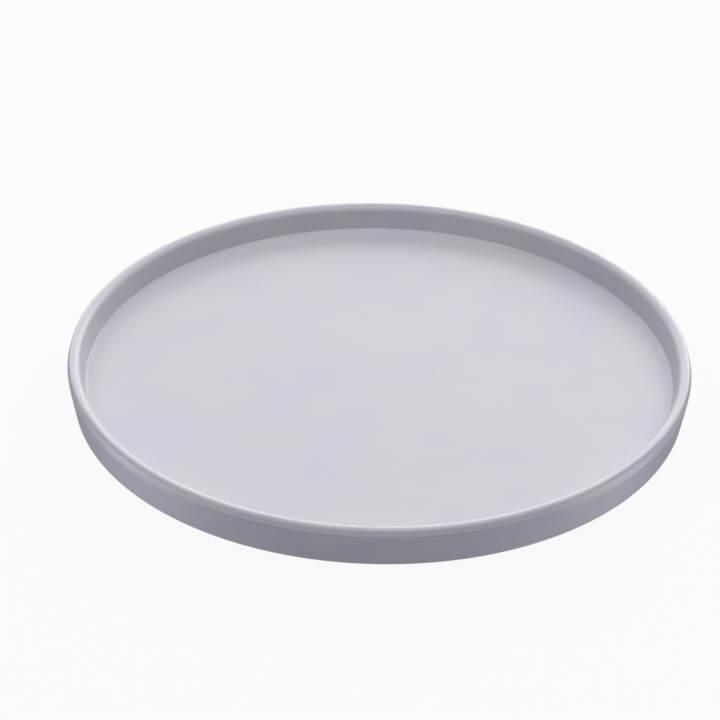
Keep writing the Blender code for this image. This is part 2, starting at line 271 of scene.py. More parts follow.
def rounded(corners, steps=5):
    """A section through corners (r, z, radius), with an arc that touches both sides at each corner.

    The arc's reach along each side is radius x tan(turn / 2), its centre lies on the bisector, and its
    points are centre + radius (u cos b + v sin b) for b across the turn.
    """
    points = [np.array([corners[0][:2]])]
    for before, corner, after in zip(corners, corners[1:], corners[2:]):
        here = np.array(corner[:2])
        back = np.array(before[:2]) - here
        ahead = np.array(after[:2]) - here
        back /= np.linalg.norm(back)
        ahead /= np.linalg.norm(ahead)
        turn = math.pi - math.acos(np.clip(back @ ahead, -1, 1))
        if corner[2] <= 0 or turn < 0.01:
            points.append(here[None])
            continue
        reach = corner[2] * math.tan(turn / 2)
        middle = (back + ahead) / np.linalg.norm(back + ahead)
        centre = here + middle * math.hypot(corner[2], reach)
        u = (here + back * reach - centre) / corner[2]
        v = back * -1.0
        b = np.linspace(0, turn, steps + 1)[:, None]
        points.append(centre + corner[2] * (u * np.cos(b) + v * np.sin(b)))
    points.append(np.array([corners[-1][:2]]))
    return np.concatenate(points)


def fill(points, longest):
    """The same section with no repeated points and no stretch longer than this."""
    step = np.linalg.norm(np.diff(points, axis=0), axis=1)
    points = points[np.concatenate(([True], step > MERGE / 10))]
    step = np.linalg.norm(np.diff(points, axis=0), axis=1)
    along = np.concatenate(([0.0], np.cumsum(step)))
    parts = np.maximum(1, np.ceil(step / longest)).astype(int)
    share = np.concatenate([i + np.arange(n) / n for i, n in enumerate(parts)] + [[len(step)]])
    place = np.interp(share, np.arange(len(along)), along)
    return np.column_stack([np.interp(place, along, points[:, k]) for k in (0, 1)])


def ease(x):
    """0 below 0, 1 above 1, and 3x^2 - 2x^3 between."""
    x = np.clip(x, 0, 1)
    return x * x * (3 - 2 * x)


def grid_faces(rows, columns, closed_rows=False, closed_columns=True):
    """Quads between neighbouring rows and columns, as an array of four point numbers each."""
    i = np.arange(rows if closed_rows else rows - 1)[:, None]
    j = np.arange(columns if closed_columns else columns - 1)[None]
    below, right = (i + 1) % rows, (j + 1) % columns
    corners = (i * columns + j, i * columns + right, below * columns + right, below * columns + j)
    return np.stack(np.broadcast_arrays(*corners), -1).reshape(-1, 4)


def polar_points(radius, angle, height):
    """(r cos a, r sin a, z) for whole arrays."""
    radius, angle, height = np.broadcast_arrays(radius, angle, height)
    return np.stack((radius * np.cos(angle), radius * np.sin(angle), height), -1)


def make_piece(name, points, faces, material, sharp=40.0):
    """A mesh object with its doubles merged, its normals outwards and its sharp edges marked."""
    mesh = bpy.data.meshes.new(name)
    used, faces = np.unique(faces, return_inverse=True)
    faces = faces.reshape(-1, 4)
    points = points.reshape(-1, 3)[used]
    same = np.unique(np.round(points / MERGE).astype(np.int64), axis=0, return_index=True,
                     return_inverse=True)
    points, faces = points[same[1]], same[2].reshape(-1)[faces]
    # A closed grid that runs the other way round has a negative volume, so its faces are turned.
    a, b, c, d = (points[faces[:, k]] for k in range(4))
    if (np.cross(a, b) * c + np.cross(a, c) * d).sum() < 0:
        faces = faces[:, ::-1]
    # A quad with a repeated corner is a triangle, as at a pole.
    repeat = faces == np.roll(faces, -1, axis=1)
    whole = faces[repeat.sum(1) == 0]
    short = faces[repeat.sum(1) == 1]
    short = short[~repeat[repeat.sum(1) == 1]].reshape(-1, 3)
    mesh.vertices.add(len(points))
    mesh.vertices.foreach_set("co", points.astype(np.float32).ravel())
    corners = np.concatenate((whole.ravel(), short.ravel()))
    sizes = np.concatenate((np.full(len(whole), 4), np.full(len(short), 3)))
    mesh.loops.add(len(corners))
    mesh.loops.foreach_set("vertex_index", corners.astype(np.int32))
    mesh.polygons.add(len(sizes))
    mesh.polygons.foreach_set("loop_start", (np.cumsum(sizes) - sizes).astype(np.int32))
    mesh.polygons.foreach_set("loop_total", sizes.astype(np.int32))
    mesh.update(calc_edges=True)
    mesh.validate()
    mesh.materials.append(material)
    mesh.shade_smooth()
    mesh.set_sharp_from_angle(angle=math.radians(sharp))
    piece = bpy.data.objects.new(name, mesh)
    bpy.context.scene.collection.objects.link(piece)
    return piece


def lathe(name, section, columns, material, closed=False, place=(0.0, 0.0, 0.0), sharp=40.0):
    """A section carried round Z: point (row, column) is (r cos a, r sin a, z), a even round the turn."""
    angle = np.linspace(0, 2 * math.pi, columns, endpoint=False)[None]
    points = polar_points(section[:, :1], angle, section[:, 1:]) + np.array(place)
    return make_piece(name, points, grid_faces(len(section), columns, closed), material, sharp)


def rib_section():
    """Half a rib's cross-section as (distance from its middle, share of its height).

    A root fillet, a slightly drafted side and a rounded free edge, from the root inwards.
    """
    half = RIB_WIDTH / 2
    root = arc(half + RIB_ROOT, RIB_ROOT, RIB_ROOT, 270, 180, RIB_COLUMNS // 2 - 1)
    edge = arc(half - RIB_EDGE * 1.4, rib_height - RIB_EDGE, RIB_EDGE, 0, 90, RIB_COLUMNS // 2 - 1)
    both = np.concatenate((root, edge))
    return both[:, 0], both[:, 1] / rib_height


def rib_columns(between):
    """Grid columns that hug RIBS radial ribs, with evenly spread ones between them.

    Returns for each column its rib's number, its offset from the rib's middle, its share of the rib's
    height, and its share of the way to the next rib.
    """
    offset, share = rib_section()
    offset = np.concatenate((-offset, [0.0], offset[::-1], np.full(between, offset[0])))
    height = np.concatenate((share, [1.0], share[::-1], np.zeros(between)))
    way = np.concatenate((np.zeros(len(height) - between), np.arange(1, between + 1) / (between + 1)))
    number = np.repeat(np.arange(RIBS), len(offset))
    return number, np.tile(offset, RIBS), np.tile(height, RIBS), np.tile(way, RIBS)


def rib_angles(columns, radius):
    """Angle of each column at each radius: rib's angle + asin(offset / r), or a share of the gap."""
    number, offset, _, way = columns
    sector = 2 * math.pi / RIBS
    lean = np.arcsin(offset[None] / radius[:, None])
    edge = np.arcsin(offset.max() / radius[:, None])
    return number[None] * sector + lean + way[None] * (sector - 2 * edge)


def onto_circles(a, b, centre_radius, centre_angle, size, round_out, plain):
    """Grid points drawn onto circles round a centre, so that a round pocket fits a square grid.

    On the square ring m = max(|a|, |b|) the point goes to centre + size m (a, b) / |(a, b)|, with b
    along the radius and a along the turn: fully up to m = round_out, fading to the plain grid at 1.
    """
    m = np.maximum(np.abs(a), np.abs(b))
    scale = size * m / np.maximum(np.hypot(a, b), 1e-12)
    out = centre_radius + scale * b
    aside = scale * a
    x = out * np.cos(centre_angle) - aside * np.sin(centre_angle)
    y = out * np.sin(centre_angle) + aside * np.cos(centre_angle)
    share = np.where(m < 1, 1 - ease((m - round_out) / (1 - round_out)), 0.0)
    moved = plain.copy()
    moved[..., 0] += (x - plain[..., 0]) * share
    moved[..., 1] += (y - plain[..., 1]) * share
    return moved, m


def both_sides(levels):
    """The same levels on both sides of 0, from -1 to 1."""
    return np.concatenate((-levels[:0:-1], levels))


# Pieces

def inner_wall(z):
    """Radius of the tray's leaning inner wall at a height."""
    lean = math.radians(INNER_DRAFT)
    top = crest_radius - LIP_INNER_ROUND * math.tan((math.pi / 2 - lean) / 2)
    return top - (crest_z - z) * math.tan(lean)


rib_end = inner_wall(floor_under) - RIB_END_GAP


def skirt(z):
    """Radius of the skirt's outer face at a height."""
    return shoulder_radius + (skirt_bottom - shoulder_radius) * (shoulder_z - z) / (shoulder_z - skirt_z)


def ring_rib(radius, root_z, free_z):
    """Corners of a ring rib's section, from its outer side to its inner side."""
    half = RIB_WIDTH / 2
    return [(radius + half + DRAFT, root_z, RIB_ROOT), (radius + half, free_z, RIB_EDGE),
            (radius - half, free_z, RIB_EDGE), (radius - half - DRAFT, root_z, RIB_ROOT)]


def groove(upper):
    """The round bottom of a ball groove, over the balls from outside in or under them from inside out."""
    edge = math.degrees(math.acos(groove_reach / groove_radius))
    if upper:
        return arc(race_radius, ball_z, groove_radius, edge, 180 - edge, GROOVE_STEPS)
    return arc(race_radius, ball_z, groove_radius, 180 + edge, 360 - edge, GROOVE_STEPS)


def tray_top():
    """From the middle of the floor over the lip, past the crease and down to the skirt's lower edge."""
    ledge = inner_wall(floor_top) - LEDGE_WIDTH
    return rounded([
        (0.0, floor_top, 0.0),
        (ledge - LEDGE_HEIGHT, floor_top, LEDGE_ROUND),
        (ledge, floor_top + LEDGE_HEIGHT, LEDGE_ROUND),
        (inner_wall(floor_top + LEDGE_HEIGHT), floor_top + LEDGE_HEIGHT, LEDGE_FILLET),
        (inner_wall(crest_z), crest_z, LIP_INNER_ROUND),
        (tray_radius - LIP_LEAN, crest_z, LIP_OUTER_ROUND - LIP_LEAN),
        (tray_radius, crease_z + LIP_SIDE, LIP_EDGE_ROUND),
        (tray_radius - CREASE_DEPTH, crease_z, CREASE_ROUND),
        (shoulder_radius, shoulder_z, SHOULDER_ROUND),
        (skirt_bottom, skirt_z, SKIRT_EDGE),
        (skirt_bottom - WALL / 2, skirt_z, 0.0),
    ], steps=9)


def tray_under():
    """From the skirt's lower edge up into the hollow, then in under the floor to the screw's hole."""
    back = WALL / math.cos(math.radians(INNER_DRAFT))
    end = arc(rib_end - RIB_END_ROUND, 0.0, RIB_END_ROUND, 0, 90, 5)[:, 0]
    return np.concatenate((
        rounded([
            (skirt_bottom - WALL / 2, skirt_z, 0.0),
            (skirt_bottom - WALL, skirt_z, RIM_ROUND),
            (skirt(core_z) - WALL, core_z, HOLLOW_ROUND),
            (inner_wall(core_z) + back, core_z, HOLLOW_ROUND),
            (inner_wall(floor_under) + back, floor_under, RIB_ROOT),
            (rib_end + DRAFT, floor_under, 0.0),
        ]),
        np.column_stack((end, np.full(len(end), floor_under))),
        rounded([
            (rib_end - RIB_END_ROUND, floor_under, 0.0),
            *ring_rib(TRAY_RING, floor_under, floor_under - RIB_DEPTH),
            (race_outer + DRAFT, floor_under, RIB_ROOT), (race_outer, tray_race_z, RIB_EDGE),
            (race_radius + groove_reach, tray_race_z, 0.0),
        ]),
        groove(upper=True),
        rounded([
            (race_radius - groove_reach, tray_race_z, 0.0),
            (race_inner, tray_race_z, RIB_EDGE), (race_inner - DRAFT, floor_under, RIB_ROOT),
            (BOSS_RADIUS + DRAFT, floor_under, RIB_ROOT), (BOSS_RADIUS, seat_z, RIM_ROUND),
            (pilot_radius + GAP, seat_z, 0.0), (pilot_radius, seat_z + GAP, 0.0),
            (pilot_radius, pilot_top, RIM_ROUND), (0.0, pilot_top, 0.0),
        ]),
    ))


def make_tray():
    """The whole tray as one grid: its rows follow the section and its columns hug the radial ribs.

    Under the floor, z = min(section, floor - rib), where a rib's depth is its cross-section's height
    times sqrt(1 - (1 - d)^2) near its outer end, d the share of the end's round.
    """
    top = fill(tray_top(), TRAY_STRETCH)
    under = fill(tray_under(), TRAY_STRETCH)[1:]
    section = np.concatenate((top, under))
    r, z = section[:, 0], section[:, 1]
    beneath = np.arange(len(r)) >= len(top)
    columns = rib_columns(TRAY_BETWEEN)
    angle = rib_angles(columns, np.where(beneath, np.maximum(r, BOSS_RADIUS), tray_radius))
    number, _, height, _ = columns
    from_end = np.clip((rib_end - r) / RIB_END_ROUND, 0, 1)
    outer = beneath * (r > race_outer - DRAFT) * np.sqrt(1 - (1 - from_end) ** 2)
    inner = beneath * (r < race_inner) * (r > BOSS_RADIUS - DRAFT)
    depth = rib_height * height[None] * (outer[:, None] + inner[:, None] * (number % 2)[None])
    z = np.where(depth > 0, np.minimum(z[:, None], floor_under - depth), z[:, None])
    points = polar_points(r[:, None], angle, z)
    return make_piece("tray_moulding", points, grid_faces(*angle.shape), tray_plastic())


def base_under():
    """From the middle of the rim's top down the outside, in underneath and up the counterbore."""
    rim_top = base_z + BASE_RIM_HEIGHT
    return [
        rounded([
            (base_radius - BASE_RIM_WIDTH / 2, rim_top, 0.0), (base_radius, rim_top, RIM_ROUND),
            (base_radius, base_z, BASE_EDGE), (foot_circle + foot_patch, base_z, 0.0),
        ]),
        rounded([
            (foot_circle - foot_patch, base_z, 0.0),
            (race_inner, base_z, RIB_EDGE), (race_inner - DRAFT, core_top, RIB_ROOT),
            *ring_rib(BASE_RING, core_top, base_z),
            (hub_radius + DRAFT, core_top, RIB_ROOT), (hub_radius, base_z, RIB_EDGE),
            (counterbore_radius, base_z, RIB_EDGE), (counterbore_radius, seat_z, RIB_EDGE),
            (bore_radius, seat_z, RIB_EDGE), (bore_radius, (seat_z + hub_top) / 2, 0.0),
        ]),
    ]


def base_top():
    """From half way up the bore over the hub, the plate and the race to the middle of the rim's top."""
    rim_top = base_z + BASE_RIM_HEIGHT
    rim_inner = base_radius - BASE_RIM_WIDTH
    return np.concatenate((
        rounded([
            (bore_radius, (seat_z + hub_top) / 2, 0.0), (bore_radius, hub_top, RIM_ROUND),
            (hub_radius, hub_top, RIM_ROUND), (hub_radius + DRAFT, plate_top, HOLLOW_ROUND),
            (race_inner - DRAFT, plate_top, RIB_ROOT), (race_inner, base_race_z, RIB_EDGE),
            (race_radius - groove_reach, base_race_z, 0.0),
        ]),
        groove(upper=False),
        rounded([
            (race_radius + groove_reach, base_race_z, 0.0),
            (race_outer, base_race_z, RIB_EDGE), (race_outer + DRAFT, plate_top, RIB_ROOT),
            (rim_inner - DRAFT, plate_top, HOLLOW_ROUND), (rim_inner, rim_top, RIM_ROUND),
            (base_radius - BASE_RIM_WIDTH / 2, rim_top, 0.0),
        ]),
    ))


def patch_columns(total, levels, sector, half_angle):
    """Columns that follow levels on both sides of each pocket and are even between the pockets.

    Returns each column's level, its angle and its pocket's angle. Column 0 is on a pocket's middle.
    """
    per = total * sector / (2 * math.pi)
    j = np.arange(total)
    pocket = np.floor((j + per / 2) / per)
    c = j - pocket * per
    side, steps = np.sign(c), np.abs(c)
    last = len(levels) - 1
    level = np.where(steps <= last, np.interp(steps, np.arange(last + 1), levels), 1 + steps - last)
    beyond = half_angle + (steps - last) / (per / 2 - last) * (sector / 2 - half_angle)
    angle = side * np.where(steps <= last, level * half_angle, beyond)
    return side * level, angle + pocket * sector, pocket * sector


def make_base():
    """The base as one closed grid: columns hug the ribs inside the race and the foot seats outside it."""
    outside, core = base_under()
    outside, core, top = (fill(part, BASE_STRETCH) for part in (outside, core, base_top()))
    seats = foot_circle + foot_patch * both_sides(FOOT_LEVELS)[::-1]
    seats = np.column_stack((seats, np.full(len(seats), base_z)))[1:-1]
    section = np.concatenate((outside, seats, core, top[1:-1]))
    r, z = section[:, 0], section[:, 1]
    first, last = len(outside) - 1, len(outside) + len(seats)
    row = np.arange(len(r))
    in_band = (row >= first) & (row <= last)
    beneath = (row > last) & (row < len(outside) + len(seats) + len(core))

    columns = rib_columns(BASE_BETWEEN)
    number, _, height, _ = columns
    hug = rib_angles(columns, np.maximum(r, bore_radius))
    half_angle = math.asin(foot_patch / foot_circle)
    a, foot_angle, foot_middle = patch_columns(
        len(number), FOOT_LEVELS, 2 * math.pi / FEET, half_angle)
    # Column 0 of the pockets is the middle column of rib 0.
    a, foot_angle, foot_middle = (np.roll(x, RIB_COLUMNS) for x in (a, foot_angle, foot_middle))
    foot_angle = np.where(np.arange(len(a)) < RIB_COLUMNS, foot_angle - 2 * math.pi, foot_angle)
    outward = ease((r - race_inner) / (race_outer - race_inner))[:, None]
    angle = hug + (foot_angle[None] - hug) * outward

    ribbed = beneath & (r > hub_radius - DRAFT) & (r < race_inner + DRAFT)
    depth = (BASE_CORE - RIB_STEP) * height[None] * ribbed[:, None]
    z = np.where(depth > 0, np.minimum(z[:, None], core_top - depth), z[:, None])
    points = polar_points(r[:, None], angle, z)

    b = np.where(in_band, (r - foot_circle) / foot_patch, 2.0)
    moved, m = onto_circles(a[None], b[:, None], foot_circle, foot_middle[None], foot_patch,
                            FOOT_LEVELS[-3], points)
    rise = 1 - ease((m - FOOT_LEVELS[SEAT_WALL]) / (FOOT_LEVELS[SEAT_WALL + 1] - FOOT_LEVELS[SEAT_WALL]))
    moved[..., 2] += FOOT_SEAT * np.where(m <= FOOT_LEVELS[SEAT_WALL + 1], rise, 0.0)
    return make_piece("base_moulding", moved, grid_faces(*angle.shape, closed_rows=True), base_plastic())


def cage_section():
    """The cage's section outside its pocketed web, from the upper side round the flange to the lower."""
    inner = race_outer + GAP
    outer = cage_high.x
    return rounded([
        (race_radius + POCKET_PATCH, ball_z + CAGE_WEB / 2, 0.0),
        (inner, ball_z + CAGE_WEB / 2, RIM_ROUND), (inner, cage_high.z, RIM_ROUND),
        (outer, cage_high.z, RIM_ROUND), (outer, cage_low.z, RIM_ROUND),
        (inner, cage_low.z, RIM_ROUND), (inner, ball_z - CAGE_WEB / 2, RIM_ROUND),
        (race_radius + POCKET_PATCH, ball_z - CAGE_WEB / 2, 0.0),
    ], steps=4)


def make_cage():
    """The cage as one closed grid whose web is drawn onto circles round the pockets, then opened there."""
    web = race_radius + POCKET_PATCH * both_sides(POCKET_LEVELS)
    low, high = ball_z - CAGE_WEB / 2, ball_z + CAGE_WEB / 2
    flange = fill(cage_section(), FINE_STRETCH)[1:-1]
    inner_edge = rounded([
        (race_radius - POCKET_PATCH, low, 0.0), (race_inner, low, RIB_EDGE),
        (race_inner, high, RIB_EDGE), (race_radius - POCKET_PATCH, high, 0.0)], steps=4)[1:-1]
    upper = np.column_stack((web, np.full(len(web), high)))
    lower = np.column_stack((web[::-1], np.full(len(web), low)))
    section = np.concatenate((upper, flange, lower, inner_edge))
    row = np.arange(len(section))
    lower_first = len(upper) + len(flange)
    on_upper = row < len(upper)
    on_lower = (row >= lower_first) & (row < lower_first + len(lower))
    b = np.where(on_upper | on_lower, (section[:, 0] - race_radius) / POCKET_PATCH, 2.0)

    per = 2 * len(POCKET_LEVELS) - 1 + POCKET_APART
    a, angle, middle = patch_columns(BALLS * per, POCKET_LEVELS, 2 * math.pi / BALLS,
                                     math.asin(POCKET_PATCH / race_radius))
    points = polar_points(section[:, :1], angle[None], section[:, 1:])
    points, m = onto_circles(a[None], b[:, None], race_radius, middle[None], POCKET_PATCH,
                             POCKET_LEVELS[-3], points)
    # The pocket's edge is eased: its ring sinks a little into the web.
    sunk = np.where(m <= POCKET_LEVELS[POCKET_EDGE] + TINY, POCKET_EASE, 0.0)
    points[..., 2] += sunk * np.where(on_upper, -1.0, 1.0)[:, None]
    faces = grid_faces(len(section), len(a), closed_rows=True)
    inside = (m <= POCKET_LEVELS[POCKET_EDGE] + TINY).ravel()
    faces = faces[~inside[faces].all(1)]

    # The pocket's wall joins the square ring of the upper web to that of the lower web.
    edge = np.arange(-POCKET_EDGE, POCKET_EDGE)
    side = np.full(len(edge), POCKET_EDGE)
    ring_b = np.concatenate((-side, edge, side, edge[::-1] + 1))
    ring_a = np.concatenate((edge, side, edge[::-1] + 1, -side))
    centre = len(POCKET_LEVELS) - 1
    column = (np.arange(BALLS)[:, None] * per + ring_a[None]) % len(a)
    up = (centre + ring_b)[None] * len(a) + column
    down = (lower_first + centre - ring_b)[None] * len(a) + column
    wall = np.stack((up, np.roll(up, -1, 1), np.roll(down, -1, 1), down), -1).reshape(-1, 4)
    return make_piece("cage_moulding", points, np.concatenate((faces, wall)), cage_plastic())


def make_ball(index):
    """A steel ball whose poles lie on its rolling axis.

    Centre + R (sin p radial + cos p (cos q along + sin q up)), p from pole to pole and q round them.
    """
    low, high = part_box(f"ball_{index:02d}")
    turn = 2 * math.pi * (index - 1) / BALLS
    radial = np.array([math.cos(turn), math.sin(turn), 0.0])
    along = np.array([-math.sin(turn), math.cos(turn), 0.0])
    up = np.array([0.0, 0.0, 1.0])
    p = np.linspace(-math.pi / 2, math.pi / 2, BALL_ROWS)[:, None, None]
    q = np.linspace(0, 2 * math.pi, BALL_COLUMNS, endpoint=False)[None, :, None]
    middle = np.array([race_radius * math.cos(turn), race_radius * math.sin(turn), (low.z + high.z) / 2])
    points = middle + ball_radius * (np.sin(p) * radial + np.cos(p) * (np.cos(q) * along + np.sin(q) * up))
    return make_piece(f"steel_ball_{index:02d}", points, grid_faces(BALL_ROWS, BALL_COLUMNS), ball_steel())


def make_foot(index):
    """A rubber foot: a turned pad with a rounded edge and ring grooves in its sole.

    The sole's height is SOLE_DEPTH times the sum of 1 - 3x^2 + 2x^3 over the rings, x = |r - ring| / width.
    """
    low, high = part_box(f"foot_{index}")
    middle = ((low.x + high.x) / 2, (low.y + high.y) / 2, 0.0)
    r = np.linspace(0, foot_radius - FOOT_ROUND, SOLE_ROWS)
    rings = np.array(SOLE_RINGS) * foot_radius
    z = low.z + SOLE_DEPTH * (1 - ease(np.abs(r[:, None] - rings[None]) / SOLE_WIDTH)).sum(1)
    side = rounded([
        (foot_radius - FOOT_ROUND, low.z, 0.0), (foot_radius, low.z, FOOT_ROUND * 0.9),
        (foot_radius, high.z, FOOT_ROUND), (0.0, high.z, 0.0)], steps=6)
    section = fill(np.concatenate((np.column_stack((r, z)), side)), FOOT_STRETCH)
    return lathe(f"rubber_foot_{index}", section, FOOT_COLUMNS, foot_rubber(), place=middle)


def screw_face(levels):
    """The head's flat face with its cross recess, on a square grid eased into a disc.

    Recess depth: DRIVE_DEPTH (1 - (x / reach)^3) along each arm, 0 outside the arms.
    """
    level = both_sides(levels)
    b, a = np.meshgrid(level, level, indexing="ij")
    m = np.maximum(np.abs(a), np.abs(b))
    share = ease(m)
    scale = HEAD_FLAT * (1 - share + share * m / np.maximum(np.hypot(a, b), 1e-12))
    width, reach = DRIVE_WIDTH / 2, DRIVE_LENGTH / 2
    across = HEAD_FLAT * np.stack((np.abs(a), np.abs(b)))
    arm = (across <= width * 1.001) * (1 - np.clip(across[::-1] / reach, 0, 1) ** 3)
    depth = DRIVE_DEPTH * arm.max(0)
    return np.stack((a * scale, b * scale, screw_low.z + depth), -1)


def make_screw():
    """A pan-head screw: the recessed face, the turned head, and a shank with a helical ridge.

    Shank radius: root + (crest - root) tooth(x), x the share of a pitch at z - pitch a / 2 pi.
    """
    face = screw_face(SCREW_LEVELS)
    n = len(face)
    ring = np.concatenate((face[0, :-1], face[:-1, -1], face[-1, :0:-1], face[:0:-1, 0]))
    angle = np.arctan2(ring[:, 1], ring[:, 0])[None]
    under_head = washer_low.z - GAP
    neck_z = under_head + SCREW_NECK
    head = rounded([
        (HEAD_FLAT, screw_low.z, 0.0),
        (screw_high.x * HEAD_BULGE, screw_low.z + HEAD_BULGE_HEIGHT, HEAD_BULGE_ROUND),
        (screw_high.x, under_head - HEAD_SIDE, HEAD_SIDE_ROUND), (screw_high.x, under_head, HEAD_EDGE),
        (SCREW_ROOT, under_head, SCREW_NECK_ROUND), (SCREW_ROOT, neck_z, 0.0)], steps=6)
    z = np.arange(neck_z, screw_high.z - SCREW_TIP, THREAD_PITCH / THREAD_ROWS)
    turns = (z[:, None] - THREAD_PITCH * angle / (2 * math.pi)) / THREAD_PITCH
    tooth = np.clip(1 - np.abs(turns % 1.0 - 0.5) / THREAD_FLANK, 0, 1)
    fade = ease((z - z[0]) / THREAD_PITCH) * ease((z[-1] - z) / THREAD_PITCH)
    shank = SCREW_ROOT + (SCREW_RADIUS - SCREW_ROOT) * tooth * fade[:, None]
    tip = rounded([
        (SCREW_ROOT, z[-1], 0.0), (SCREW_TIP_RADIUS, screw_high.z, SCREW_TIP_ROUND),
        (0.0, screw_high.z, 0.0)])
    lathe_rows = np.concatenate((
        np.repeat(head[:, :1], angle.shape[1], 1), shank[1:], np.repeat(tip[1:, :1], angle.shape[1], 1)))
    heights = np.concatenate((head[:, 1], z[1:], tip[1:, 1]))
    body = polar_points(lathe_rows, angle, heights[:, None])
    body[0] = ring
    faces = grid_faces(n, n, closed_columns=False)[:, ::-1]
    body_faces = grid_faces(*lathe_rows.shape) + n * n
    points = np.concatenate((face.reshape(-1, 3), body.reshape(-1, 3)))
    return make_piece("cross_head_screw", points, np.concatenate((faces, body_faces)), zinc_steel())


def make_washer():
    """A stamped washer: rounded where the punch went in, nearly sharp where it came out."""
    low, high, hole = washer_low.z, washer_high.z, pilot_radius
    section = rounded([
        (hole, (low + high) / 2, 0.0), (hole, high, SHARP_HOLE), (washer_radius, high, SHARP_EDGE),
        (washer_radius, low, PUNCHED_EDGE), (hole, low, PUNCHED_HOLE), (hole, (low + high) / 2, 0.0)])
    return lathe("plain_washer", fill(section, FINE_STRETCH)[:-1], WASHER_COLUMNS, zinc_steel(), closed=True)


# Materials

class Finish:
    """A Principled material that is built up node by node, on Object coordinates."""

    def __init__(self, name, colour, roughness, metallic=0.0):
        self.material = bpy.data.materials.new(name)
        self.material.use_nodes = True
        self.material.diffuse_color = (*colour, 1.0)
        self.tree = self.material.node_tree
        self.shader = self.tree.nodes["Principled BSDF"]
        self.set("Base Color", (*colour, 1.0))
        self.set("Roughness", roughness)
        self.set("Metallic", metallic)
        self.place = self.tree.nodes.new("ShaderNodeTexCoord").outputs["Object"]

    def set(self, socket, value):
        self.shader.inputs[socket].default_value = value

    def join(self, socket, output):
        self.tree.links.new(output, self.shader.inputs[socket])

    def node(self, kind, inputs=(), **settings):
        """A node with its settings made, and each input set to a value or linked to an output."""
        made = self.tree.nodes.new(kind)
        for key, value in settings.items():
            setattr(made, key, value)
        for key, value in dict(inputs).items():
            if isinstance(value, bpy.types.NodeSocket):
                self.tree.links.new(value, made.inputs[key])
            else:
                made.inputs[key].default_value = value
        return made

    def noise(self, scale, detail=3.0, roughness=0.55, vector=None):
        """A cloud pattern with this many blobs in a metre."""
        return self.node("ShaderNodeTexNoise", {
            "Vector": vector or self.place, "Scale": scale, "Detail": detail, "Roughness": roughness,
        }).outputs["Fac"]

    def spread(self, value, low, high, start=0.0, end=1.0, smooth=True):
        """The value taken from the range low..high to the range start..end."""
        return self.node("ShaderNodeMapRange", {
            "Value": value, "From Min": low, "From Max": high, "To Min": start, "To Max": end,
        }, interpolation_type="SMOOTHSTEP" if smooth else "LINEAR").outputs["Result"]

    def maths(self, operation, first, second=0.0):
        return self.node("ShaderNodeMath", {0: first, 1: second}, operation=operation).outputs[0]

    def height(self):
        return self.node("ShaderNodeSeparateXYZ", {"Vector": self.place}).outputs["Z"]

    def radius(self):
        """Distance from the turning axis."""
        flat = self.node("ShaderNodeVectorMath", {0: self.place, 1: (1.0, 1.0, 0.0)},
                         operation="MULTIPLY").outputs["Vector"]
        return self.node("ShaderNodeVectorMath", {0: flat}, operation="LENGTH").outputs["Value"]

    def tint(self, share, first, second):
        """A colour between two colours."""
        return self.node("ShaderNodeMix", {"Factor": share, "A": (*first, 1.0), "B": (*second, 1.0)},
                         data_type="RGBA").outputs["Result"]

    def bumps(self, *layers):
        """Bump nodes in a chain, from layers of (height output, depth in metres)."""
        normal = None
        for value, depth in layers:
            inputs = {"Height": value, "Distance": depth, "Strength": 1.0}
            if normal:
                inputs["Normal"] = normal
            normal = self.node("ShaderNodeBump", inputs).outputs["Normal"]
        self.join("Normal", normal)


def tray_plastic():
    """Pale lilac-grey moulded plastic: fine spark grain, faint clouding, a lip polished by hands."""
    f = Finish("tray_plastic", TRAY_COLOUR, TRAY_ROUGHNESS)
    f.set("IOR", 1.5)
    cloud = f.spread(f.noise(28.0, detail=4.0), 0.35, 0.65)
    f.join("Base Color", f.tint(cloud, TRAY_COLOUR_COOL, TRAY_COLOUR))
    handled = f.spread(f.height(), crest_z - HANDLED_DEPTH, crest_z, 0.0, -0.05)
    uneven = f.spread(f.noise(90.0, detail=3.0), 0.3, 0.7, -0.025, 0.025)
    f.join("Roughness", f.maths("ADD", f.maths("ADD", uneven, TRAY_ROUGHNESS), handled))
    f.bumps((f.noise(2600.0, detail=2.0), 0.0000015))
    return f.material


def base_plastic():
    """The same plastic from a plainer tool: rougher, with fine turning marks left by the tool insert."""
    f = Finish("base_plastic", BASE_COLOUR, 0.6)
    f.set("IOR", 1.5)
    cloud = f.spread(f.noise(35.0, detail=4.0), 0.35, 0.65)
    f.join("Base Color", f.tint(cloud, [c * 0.94 for c in BASE_COLOUR], BASE_COLOUR))
    f.join("Roughness", f.spread(f.noise(220.0, detail=3.0), 0.3, 0.7, 0.52, 0.66))
    rings = f.maths("SINE", f.maths("MULTIPLY", f.radius(), 2 * math.pi / TURNING_PITCH))
    f.bumps((rings, 0.000006), (f.noise(1800.0, detail=3.0), 0.00003))
    return f.material


def cage_plastic():
    """Natural acetal: waxy off-white that lets a little light in, with fine flattened flow marks."""
    f = Finish("cage_plastic", (0.80, 0.79, 0.74), 0.38)
    f.set("IOR", 1.48)
    f.set("Subsurface Weight", 0.25)
    f.set("Subsurface Radius", (0.0012, 0.0011, 0.0009))
    flow = f.noise(1.0, detail=4.0, vector=f.node(
        "ShaderNodeVectorMath", {0: f.place, 1: (260.0, 260.0, 900.0)}, operation="MULTIPLY").outputs[0])
    f.join("Base Color", f.tint(f.spread(flow, 0.3, 0.7), (0.74, 0.73, 0.67), (0.83, 0.82, 0.78)))
    f.join("Roughness", f.spread(flow, 0.3, 0.7, 0.32, 0.46))
    f.bumps((flow, 0.00002))
    return f.material


